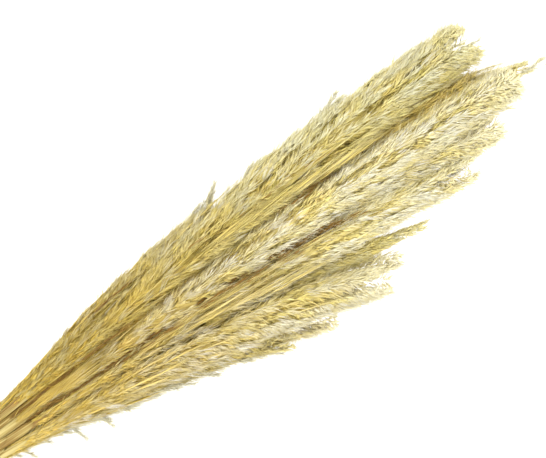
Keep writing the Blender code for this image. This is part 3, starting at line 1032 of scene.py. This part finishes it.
def husks_of(reed, husk, chart, draw):
    """The plume's husks and hairs along its branches."""
    rows = branches_of(reed, draw)
    counts = np.maximum((rows.run * rows.cut / HUSK_STEP).astype(int), HUSKS_A_BRANCH)
    k = np.repeat(np.arange(len(rows.run)), counts)
    strands = len(k)
    t = np.concatenate([(np.arange(n) + draw.random(n)) / n for n in counts])
    t = t ** HUSKS_OUTWARD * rows.cut[k]
    along = rows.start[k] + t * rows.run[k]
    turn = rows.angle[k] + rows.swing[k] * t
    share = rows.lift[k] * (1 - (1 - t) ** BRANCH_BOW)
    rise = np.arctan(rows.slope[k] * (1 - t) ** (BRANCH_BOW - 1))

    ending = eased((along - tip_of(reed)) / END_SPREAD_LENGTH + 1)
    hair = draw.random(strands) < np.where(share < HAIR_FROM, *HAIR_SHARES) + END_HAIR * ending
    length = hair_or_husk(draw, hair, HAIR_LENGTHS, HUSK_LENGTHS)
    width = hair_or_husk(draw, hair, HAIR_WIDTHS, HUSK_WIDTHS)
    width = width * np.where(share < UNDER_SHARE, UNDER_WIDTH, 1.0)
    left = tip_of(reed) + rows.over[k] + TIP_OVER * draw.random(strands) * hair - along
    shortened = np.maximum(left, 0) * between(draw, END_SHORTER, strands)
    length = np.maximum(np.where(length > left, shortened, length), HUSK_LEAST)

    spread = 1 + END_SPREAD * ending
    sides = np.where(np.arange(strands) % 2, 1.0, -1.0)
    yaw = sides * np.where(hair, HAIR_YAW, HUSK_YAW) + draw.normal(0, HUSK_YAW_JITTER, strands)
    yaw = yaw - DROOP * np.tanh(DROOP_SHARP * np.cos(turn)) * np.sin(turn) + rows.lean[k]
    yaw = yaw * spread + fall_at(reed, along, turn)
    pitch = rise * spread + np.where(hair, HAIR_PITCH * draw.random(strands), 0)
    pitch = pitch + draw.normal(0, HUSK_PITCH_JITTER, strands)

    reach, direction = wall_at(reed, along, turn)
    distance = share * reach * end_rounding(reed, along)
    end_along = along + length * np.cos(yaw) * np.cos(pitch)
    end_turn = turn + length * np.sin(yaw) / np.maximum(distance, TURN_LEAST)
    end_reach, end_direction = wall_at(reed, end_along, end_turn)
    top = HUSK_TOP[0] + (HUSK_TOP[1] - HUSK_TOP[0]) * draw.random(strands) ** HUSK_TOP_FEW
    top = np.where(hair, between(draw, HAIR_TOP, strands), top)
    top = top * end_reach * (END_FREE + (1 - END_FREE) * end_rounding(reed, end_along))
    top = top * (1 + END_FLARE * ending * draw.random(strands))
    top = top + HAIR_OUT * hair * draw.random(strands)
    fringe = fringe_at(reed, turn)
    top = top * (1 - FRINGE_SLIM * fringe)
    end_distance = np.minimum(distance + length * np.sin(pitch), top)

    openness = openness_at(reed, chart, along, turn, draw)
    kept = draw.random(strands) < husk_keeping(share, turn, openness, fringe)
    kept &= left > HUSK_LEAST
    roots = out_from(reed, along, direction, distance)[kept]
    ends = out_from(reed, end_along, end_direction, end_distance)[kept]
    middles, rolls = bowed(roots, ends, draw)
    # Depth: golden inside the plume and in shut-in valleys, partly the husks' own gold and partly
    # painted shade; pale at the open wall and the ends
    depth = eased((share - GOLD_BELOW) / (PALE_ABOVE - GOLD_BELOW))
    depth = depth * (VALLEY_SHADE + (1 - VALLEY_SHADE) * openness ** OPEN_LIT_PALE)
    depth = np.maximum(depth, END_PALE * ending)
    depth = depth * (1 - streak_at(reed, along, direction, distance))
    look = Look(
        shade=draw.random(len(roots)),
        tuft=rows.tuft[k][kept],
        depth=depth[kept],
        far=far_at(along)[kept],
        flow=plume_flow(reed, along, turn)[kept],
    )
    return copied(husk, Lie(roots, middles, ends, width[kept], rolls), look)


def tufts_of(reed, husk, chart, draw):
    """Small loose tufts of hair that stand out of the plume all round, where it is open."""
    count = int(reed.length * MM / TUFT_STEP)
    fringe = FRINGE.get(reed.name, 0)
    on_fringe = np.arange(count + fringe) >= count
    count += fringe
    along = base_of(reed) + draw.random(count) * (reed.length * MM - TUFT_FORWARD[1])
    turn = draw.uniform(0, math.tau, count)
    turn = np.where(on_fringe, math.pi + draw.normal(0, FRINGE_AROUND, count), turn)
    open_here = openness_at(reed, chart, along, turn, draw) > TUFT_OPEN
    k = np.repeat(np.flatnonzero(open_here), TUFT_HAIRS)
    hairs = len(k)
    out = between(draw, TUFT_OUT, count)[k] * between(draw, TUFT_OUT_VARIES, hairs)
    out = out * np.where(on_fringe[k], FRINGE_LONGER, 1.0)
    forward = between(draw, TUFT_FORWARD, count)[k] * between(draw, TUFT_FORWARD_VARIES, hairs)
    lean = draw.normal(0, TUFT_LEAN, count) + fall_at(reed, along, turn)
    lean = (lean[k] + draw.normal(0, TUFT_FRAY, hairs)) * forward
    start = along[k] + draw.uniform(0, TUFT_SLIDE, hairs) * forward
    start_turn = turn[k] + draw.normal(0, TUFT_FRAY, hairs)
    reach, direction = wall_at(reed, start, start_turn)
    roots = out_from(reed, start, direction, reach * end_rounding(reed, start) * TUFT_SUNK)
    end = start + forward
    end_turn = start_turn + lean / np.maximum(reach, TURN_LEAST)
    end_reach, direction = wall_at(reed, end, end_turn)
    ends = out_from(reed, end, direction, end_reach * end_rounding(reed, end) + out)
    middles, rolls = bowed(roots, ends, draw)
    width = between(draw, TUFT_WIDTHS, hairs) * np.where(on_fringe[k], FRINGE_THIN, 1.0)
    far = np.maximum(far_at(start), on_fringe[k])
    flow = plume_flow(reed, start, start_turn)
    look = Look(draw.random(hairs), TUFT_TUFT, TUFT_DEPTH, far, flow)
    return copied(husk, Lie(roots, middles, ends, width, rolls), look)


def sprigs_of(reed, husk, draw):
    """Stray side branches that stand out of the plume's edge, each on a thicker stalk."""
    parts = []
    for root, tip in SPRIGS.get(reed.name, ()):
        height = spine(reed, np.array([root[0] * MM]))[0, 2]
        root = np.array([*np.array(root) * MM, height])
        tip = np.array([*np.array(tip) * MM, height + SPRIG_RISE])
        start = root + (root - tip) * SPRIG_SUNK
        share = np.sort(draw.random(SPRIG_HUSKS))[:, None]
        share[:SPRIG_STALKS] = 0
        roots = start + (tip - start) * share
        length = between(draw, SPRIG_LENGTHS, SPRIG_HUSKS)[:, None]
        length = length * (SPRIG_SHORTER[0] - SPRIG_SHORTER[1] * share)
        aims = normalised(tip - start) + draw.normal(0, SPRIG_SPREAD, roots.shape)
        ends = roots + aims * length
        ends[:SPRIG_STALKS] = tip
        width = between(draw, SPRIG_WIDTHS, SPRIG_HUSKS)
        width[:SPRIG_STALKS] = STALK_WIDTH
        middles, rolls = bowed(roots, ends, draw)
        flow = plume_flow(reed, roots[:, 0], np.ones(SPRIG_HUSKS))
        look = Look(1.0, SPRIG_TUFT, SPRIG_DEPTH, SPRIG_FAR, flow)
        parts.append(copied(husk, Lie(roots, middles, ends, width, rolls), look))
    return parts


Run = namedtuple("Run", "along length turn share")


def laid(reed, husk, run, sunk, asides, width, shade, tuft, depth):
    """Strands that lie along the plume, each from a sunken root through its middle to its end."""
    along, length, turn, share = run
    roots = placed(reed, along, turn, share * sunk)
    middles = placed(reed, along + length * HUSK_MIDDLE, turn + asides[0], share)
    ends = placed(reed, along + length, turn + asides[1], share)
    look = Look(shade, tuft, depth, far_at(along), plume_flow(reed, along, turn))
    return copied(husk, Lie(roots, middles, ends, width, turn), look)


def fibres_of(reed, husk, draw):
    """Long golden stalks that lie along the plume among its husks."""
    count = int(reed.length * MM / FIBRE_STEP)
    along = foot_of(reed) + draw.random(count) * (reed.length * MM * FIBRE_FIELD)
    length = np.minimum(between(draw, FIBRE_LENGTHS, count), tip_of(reed) - along)
    turn = draw.uniform(0, math.tau, count)
    share = between(draw, FIBRE_SHARES, count)
    asides = draw.normal(0, FIBRE_SWAY, count), draw.normal(0, 2 * FIBRE_SWAY, count)
    width = between(draw, FIBRE_WIDTHS, count)
    run = Run(along, length, turn, share)
    return laid(reed, husk, run, FIBRE_SUNK, asides, width, 0, 0, share * FIBRE_DEPTH)


def blades_of(reed, husk, draw):
    """Long flat golden blades that lie on the lower part of the plume."""
    along = foot_of(reed) + draw.random(BLADES) * reed.length * MM * BLADE_FIELD
    length = between(draw, BLADE_LENGTHS, BLADES)
    turn = draw.uniform(0, math.tau, BLADES)
    share = between(draw, BLADE_SHARES, BLADES)
    aside = draw.normal(0, BLADE_SWAY, BLADES)
    width = between(draw, BLADE_WIDTHS, BLADES)
    depth = BLADE_DEPTH * draw.random(BLADES)
    shade = BLADE_SHADE * draw.random(BLADES)
    run = Run(along, length, turn, share)
    return laid(reed, husk, run, BLADE_SUNK, (aside, 2 * aside), width, shade, depth, depth)


def marks_of(reed, husk, chart, draw, marks):
    """Strands on top of the plume along the lines of those marks, where they cross it."""
    along = draw.uniform(foot_of(reed), tip_of(reed) - marks.lengths[1], MARK_TRIES)
    turn = draw.uniform(0, math.pi, MARK_TRIES)
    points = placed(reed, along, turn, 1.0)
    near = np.zeros(MARK_TRIES, dtype=bool)
    for line in marks.lines:
        places = np.array([fan_place(pixel) for pixel in line.places])
        off = np.abs(points[:, 1] - np.interp(points[:, 0], places[:, 0], places[:, 1]))
        within = (points[:, 0] > places[0, 0]) & (points[:, 0] < places[-1, 0])
        near |= within & (off < line.half)
    near &= openness_at(reed, chart, along, turn, draw) > MARK_OPEN
    along, turn = along[near], turn[near]
    count = len(along)
    length = between(draw, marks.lengths, count)
    share = between(draw, marks.shares, count)
    aside = draw.normal(0, MARK_SWAY, count)
    width = between(draw, marks.widths, count)
    shade = draw.random(count)
    run = Run(along, length, turn, share)
    depth = MARK_DEPTH * shade
    return laid(reed, husk, run, MARK_SUNK, (0, aside), width, shade, -marks.brown, depth)


def core_of(reed, draw):
    """The soft middle of a plume, rippled like packed husks, from its foot to its end."""
    count = int(reed.length * MM / CORE_STEP)
    end = tip_of(reed) - CORE_SHORT
    ring = np.arange(CORE_SIDES)
    along = np.repeat(np.linspace(base_of(reed), end, count), CORE_SIDES)
    angle = np.tile(ring * math.tau / CORE_SIDES, count)
    ridge = np.tile(draw.normal(0, 1, CORE_SIDES), count)
    share = CORE_SHARE + CORE_RIPPLE * draw.normal(0, 1, len(along)) + CORE_RIDGE * ridge
    near_end = np.clip((end - along) / (CORE_NARROWS * reed.girth * MM), CORE_END, 1)
    points = placed(reed, along, angle, share * near_end)
    first = spine(reed, np.array([base_of(reed)]))
    last = spine(reed, np.array([end + CORE_STEP / 2]))
    points = np.concatenate([points, first, last])
    after = np.roll(ring, -1)
    faces = []
    for start in range(0, (count - 1) * CORE_SIDES, CORE_SIDES):
        low, low_after = start + ring, start + after
        high, high_after = low + CORE_SIDES, low_after + CORE_SIDES
        faces.append(np.stack([low, high_after, high], axis=-1))
        faces.append(np.stack([low, low_after, high_after], axis=-1))
    root = np.full(CORE_SIDES, count * CORE_SIDES)
    end_ring = (count - 1) * CORE_SIDES
    faces.append(np.stack([root, after, ring], axis=-1))
    faces.append(np.stack([root + 1, end_ring + ring, end_ring + after], axis=-1))
    shade = CORE_SHADE + CORE_SHADE_VARIES * np.append(ridge, (0, 0))
    shade = shade + CORE_SHADE_VARIES * draw.normal(0, 1, len(points))
    far = far_at(points[:, 0])
    flow = plume_flow(reed, points[:, 0], np.append(angle, (0, 0)))
    # The core's low depth value is painted shade: it makes the core deep gold and darker in its
    # gaps
    return Part(points, np.concatenate(faces), shade, shade, CORE_SHADED_DEPTH, far, 0, flow)


def joined(parts):
    """Several parts as one."""
    sizes = [len(part.points) for part in parts]
    offsets = np.cumsum([0, *sizes])
    faces = np.concatenate([part.faces + offset for part, offset in zip(parts, offsets)])
    values = [
        np.concatenate([
            np.broadcast_to(getattr(part, name), size) for part, size in zip(parts, sizes)
        ])
        for name in VALUES
    ]
    points = np.concatenate([part.points for part in parts])
    return Part(points, faces, *values, np.concatenate([part.flow for part in parts]))


def add_piece(name, part, shift, material):
    """A mesh object at the origin made of a part's points, triangles and colour values."""
    mesh = bpy.data.meshes.new(name)
    points = part.points + np.array(shift)
    mesh.vertices.add(len(points))
    mesh.vertices.foreach_set("co", points.astype(np.float32).ravel())
    mesh.loops.add(part.faces.size)
    mesh.loops.foreach_set("vertex_index", part.faces.astype(np.int32).ravel())
    mesh.polygons.add(len(part.faces))
    mesh.polygons.foreach_set("loop_start", np.arange(0, part.faces.size, 3, dtype=np.int32))
    mesh.update(calc_edges=True)
    for value in VALUES:
        attribute = mesh.attributes.new(value, "FLOAT", "POINT")
        attribute.data.foreach_set("value", getattr(part, value).astype(np.float32))
    flow = mesh.attributes.new("flow", "FLOAT_VECTOR", "POINT")
    flow.data.foreach_set("vector", part.flow.astype(np.float32).ravel())
    mesh.shade_smooth()
    mesh.materials.append(material)
    piece = bpy.data.objects.new(name, mesh)
    bpy.context.collection.objects.link(piece)
    return piece


def feed(tree, node, inputs):
    """Gives a node's sockets plain values, or links them to other sockets."""
    for name, value in inputs.items():
        if isinstance(value, (int, float, tuple)):
            node.inputs[name].default_value = value
        else:
            tree.links.new(value, node.inputs[name])


def new_node(tree, kind, inputs, **settings):
    node = tree.nodes.new(kind)
    for name, value in settings.items():
        setattr(node, name, value)
    feed(tree, node, inputs)
    return node


def piece_values(tree, *names):
    """The named values and the flow that a piece carries, as sockets."""
    *nodes, flow = (
        new_node(tree, "ShaderNodeAttribute", {}, attribute_name=name) for name in (*names, "flow")
    )
    return *(node.outputs["Fac"] for node in nodes), flow.outputs["Vector"]


def object_place(tree):
    return new_node(tree, "ShaderNodeTexCoord", {}).outputs["Object"]


def worked_out(tree, first, second, operation="MULTIPLY"):
    return new_node(tree, "ShaderNodeMath", {0: first, 1: second}, operation=operation).outputs[0]


def weighted(tree, terms):
    """The sum of some values, each times its weight."""
    total = 0.0
    for value, weight in terms:
        total = worked_out(tree, total, worked_out(tree, value, weight), "ADD")
    return total


def blended(tree, share, first, second, kind="MIX"):
    inputs = {"Factor": share, 6: first, 7: second}
    return new_node(tree, "ShaderNodeMix", inputs, data_type="RGBA", blend_type=kind).outputs[2]


def streaks(tree, coordinates, scale, detail=FINE_DETAIL):
    """A pattern drawn out into streaks, from coordinates scaled each way."""
    mapping = new_node(tree, "ShaderNodeMapping", {"Vector": coordinates, "Scale": scale})
    place = mapping.outputs["Vector"]
    noise = new_node(tree, "ShaderNodeTexNoise", {"Vector": place, "Scale": 1.0, "Detail": detail})
    return noise.outputs["Fac"]


def sharp_streaks(tree, coordinates, scale, detail=FINE_DETAIL):
    """Streaks with more contrast, from 0 to 1."""
    least, most = PATTERN_RANGE
    pattern = streaks(tree, coordinates, scale, detail)
    inputs = {"Value": pattern, "From Min": least, "From Max": most}
    return new_node(tree, "ShaderNodeMapRange", inputs).outputs["Result"]


def ramp_of(tree, value, positions, colours):
    """A colour scale read at a value."""
    ramp = new_node(tree, "ShaderNodeValToRGB", {0: value})
    elements = ramp.color_ramp.elements
    while len(elements) < len(colours):
        elements.new(1.0)
    for element, position, colour in zip(elements, positions, colours):
        element.position = position
        element.color = (*colour, 1)
    return ramp.outputs[0]


def new_finish(name):
    material = bpy.data.materials.new(name)
    material.use_nodes = True
    tree = material.node_tree
    return material, tree, tree.nodes["Principled BSDF"]


def surfaced(tree, shader, relief, height, grain, roughness):
    """Relief of that height from one pattern, and roughness in that range from another."""
    inputs = {"Strength": RELIEF_STRENGTH, "Distance": height, "Height": relief}
    bump = new_node(tree, "ShaderNodeBump", inputs)
    least, most = roughness
    rough = worked_out(tree, worked_out(tree, grain, most - least), least, "ADD")
    feed(tree, shader, {"Normal": bump.outputs["Normal"], "Roughness": rough})


def straw(name, deep, *pale_colours):
    """The finish of a plume: every husk its own tone, deeper inside and paler at the points, with
    painted shade: deep gold inside, in shut-in valleys and at the roots, darker in the gaps and
    dark brown along the seams.
    """
    material, tree, shader = new_finish(name)
    shade, tuft, depth, far, point, flow = piece_values(tree, *VALUES)
    fine = sharp_streaks(tree, flow, STRAW_FINE)
    broad = sharp_streaks(tree, flow, STRAW_BROAD, BROAD_DETAIL)
    fleck = sharp_streaks(tree, flow, STRAW_FLECK)
    tone = weighted(tree, (
        (shade, TONE_OF_SHADE),
        (tuft, TONE_OF_TUFT),
        (point, TONE_OF_POINT),
        (broad, TONE_OF_BROAD),
    ))
    colour = ramp_of(tree, tone, STRAW_STOPS, pale_colours)
    inside, root_end, fine_gap, foot = (
        worked_out(tree, 1.0, value, "SUBTRACT") for value in (depth, point, fine, far)
    )
    # Painted shade at each husk's root, taken with the depth; fine streaks and flecks then set how
    # much deep colour is mixed in
    gold = worked_out(tree, inside, worked_out(tree, root_end, ROOT_SHADE_GOLD), "MAXIMUM")
    streaked = worked_out(tree, worked_out(tree, fine, GOLD_OF_FINE[1]), GOLD_OF_FINE[0], "ADD")
    gold = worked_out(tree, gold, streaked)
    gold = worked_out(tree, gold, worked_out(tree, fleck, FLECK_GOLD), "ADD")
    # Mixes in the deep colour: partly the husks' own gold, partly painted shade inside the plume,
    # in shut-in valleys and at the roots
    colour = blended(tree, gold, colour, (*deep, 1))
    # Painted shade: a darker, warmer colour in the gaps between the fine streaks, more so deep in
    # the plume
    gap_shade = worked_out(tree, worked_out(tree, inside, fine_gap), GAP_SHADE_DARK)
    colour = blended(tree, gap_shade, colour, (*GAP_SHADE_TINT, 1), "MULTIPLY")
    colour = blended(tree, foot, colour, (*FOOT_TINT, 1), "MULTIPLY")
    # Painted shade: dark brown mixed in by how far below zero tuft is, fully on the seam strands
    # and a little on the golden stalks
    colour = blended(tree, worked_out(tree, tuft, -1.0), colour, (*SEAM_SHADE_BROWN, 1))
    surfaced(tree, shader, fine, STRAW_RELIEF, shade, STRAW_ROUGHNESS)
    feed(tree, shader, {
        "Base Color": colour,
        "Specular IOR Level": SHEEN,
        "Subsurface Weight": STRAW_GLOW,
        "Subsurface Radius": STRAW_GLOW_COLOUR,
        "Subsurface Scale": STRAW_GLOW_DEPTH,
    })
    return material


def cane_finish():
    """Golden straw with fine lengthwise grooves, darker at joints and paler on leaf sheaths."""
    material, tree, shader = new_finish("cane_straw")
    shade, joint, outside, sheathed, flow = piece_values(tree, "shade", "tuft", "depth", "point")
    fine = sharp_streaks(tree, flow, CANE_FINE)
    broad = sharp_streaks(tree, flow, CANE_BROAD, BROAD_DETAIL)
    off_middle = worked_out(tree, shade, 0.5, "SUBTRACT")
    tone = weighted(tree, (
        (fine, CANE_TONE),
        (broad, CANE_TONE),
        (off_middle, CANE_TONE_VARIES),
    ))
    cane = ramp_of(tree, tone, CANE_STOPS, (CANE_DEEP, CANE_BODY, CANE_PALE))
    sheath = ramp_of(tree, tone, SHEATH_STOPS, (SHEATH_DEEP, SHEATH_BODY, SHEATH_PALE))
    colour = blended(tree, sheathed, cane, sheath)
    stain = worked_out(tree, joint, JOINT_BROWN_SHARE)
    colour = blended(tree, stain, colour, (*JOINT_BROWN, 1))
    colour = blended(tree, outside, (*HOLLOW_BROWN, 1), colour)
    feed(tree, shader, {"Base Color": colour, "Specular IOR Level": SHEEN})
    surfaced(tree, shader, fine, CANE_RELIEF, broad, CANE_ROUGHNESS)
    return material


def band_finish():
    """Tan natural rubber, satin, with a little bloom."""
    material, tree, shader = new_finish("band_rubber")
    place = object_place(tree)
    bloom, grain = streaks(tree, place, BAND_BLOOM), streaks(tree, place, BAND_GRAIN)
    colour = ramp_of(tree, bloom, BAND_STOPS, (BAND_DEEP, BAND_PALE))
    feed(tree, shader, {"Base Color": colour, "Specular IOR Level": SHEEN})
    surfaced(tree, shader, grain, BAND_RELIEF, bloom, BAND_ROUGHNESS)
    return material


def add_lights():
    world = bpy.data.worlds.new("studio")
    bpy.context.scene.world = world
    world.use_nodes = True
    sky = world.node_tree.nodes["Background"]
    feed(world.node_tree, sky, {"Color": (*SKY_COLOUR, 1), "Strength": SKY_STRENGTH})
    sun = bpy.data.lights.new("key", "SUN")
    sun.energy = SUN_STRENGTH
    sun.color = SUN_COLOUR
    sun.angle = SUN_SOFTNESS
    key = bpy.data.objects.new("key", sun)
    key.rotation_euler = Vector(SUN_FROM).to_track_quat("Z", "Y").to_euler()
    bpy.context.collection.objects.link(key)


def add_floor():
    deselect()
    bpy.ops.mesh.primitive_plane_add(size=FLOOR_SIZE, location=(0, 0, 0))
    floor = bpy.context.object
    floor.name = "floor"
    material, tree, shader = new_finish("floor")
    grain = streaks(tree, object_place(tree), FLOOR_GRAIN)
    surfaced(tree, shader, grain, FLOOR_RELIEF, grain, FLOOR_ROUGHNESS)
    feed(tree, shader, {
        "Base Color": (*FLOOR_GREY, 1),
        "Emission Color": (1, 1, 1, 1),
        "Emission Strength": FLOOR_GLOW,
    })
    floor.data.materials.append(material)


def fan_place(pixel):
    """A pixel of the picture as a place on the fan, X and Y."""
    right, down = pixel[0] - ORIGIN_PIXEL[0], pixel[1] - ORIGIN_PIXEL[1]
    ahead = right * math.cos(ROLL) - down * math.sin(ROLL)
    aside = right * math.sin(ROLL) + down * math.cos(ROLL)
    return ORIGIN_PLACE[0] + ahead * PIXEL, ORIGIN_PLACE[1] - aside * PIXEL


def add_camera(shift):
    camera = bpy.data.cameras.new("camera")
    camera.sensor_width = SENSOR
    camera.lens = SENSOR * (CAMERA_HEIGHT - FOCUS_HEIGHT) / (PICTURE_WIDTH * PIXEL)
    x, y = fan_place(PICTURE_MIDDLE)
    holder = bpy.data.objects.new("camera", camera)
    holder.location = (x + shift.x, y + shift.y, CAMERA_HEIGHT)
    holder.rotation_euler = (0, 0, -ROLL)
    bpy.context.collection.objects.link(holder)
    bpy.context.scene.camera = holder


def fan_shift():
    """From the fan's own frame, with the band at X = 0, to the place of the bunch on the table."""
    low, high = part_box("band")
    outline = band_outline(BAND_GAP + BAND_THICKNESS)
    across, up = (outline.min(axis=0) + outline.max(axis=0)) / 2
    return (low + high) / 2 - Vector((0, across, BAND_HEIGHT + up))


def dress(piece, node):
    """Puts a finished piece in the place of a node."""
    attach(piece, "root")
    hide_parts(node)


def main():
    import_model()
    bpy.context.scene.view_settings.view_transform = "Standard"
    shift = fan_shift()
    add_camera(shift)
    add_lights()
    add_floor()
    finishes = {tint: straw("straw_" + tint, *colours) for tint, colours in STRAWS.items()}
    cane_straw = cane_finish()
    husk, cane, sheath = model_husk(), model_cane(), model_sheath()
    for reed in REEDS:
        draw = np.random.default_rng(SEED + int(reed.name))
        chart = openness_map(reed)
        strands = [
            husks_of(reed, husk, chart, draw),
            fibres_of(reed, husk, draw),
            blades_of(reed, husk, draw),
            marks_of(reed, husk, chart, draw, STALKS),
            marks_of(reed, husk, chart, draw, SHADE_SEAMS),
            tufts_of(reed, husk, chart, draw),
            *sprigs_of(reed, husk, draw),
        ]
        plume = joined([core_of(reed, draw), *strands])
        piece = add_piece("reed_plume_" + reed.name, plume, shift, finishes[reed.tint])
        dress(piece, "plume_" + reed.name)
        culm = joined([cane_of(reed, cane, draw), *sheaths_of(reed, sheath, draw)])
        piece = add_piece("reed_cane_" + reed.name, culm, shift, cane_straw)
        dress(piece, "culm_" + reed.name)
    piece = add_piece("elastic_band", joined(band_turns(model_turn())), shift, band_finish())
    dress(piece, "band")


main()
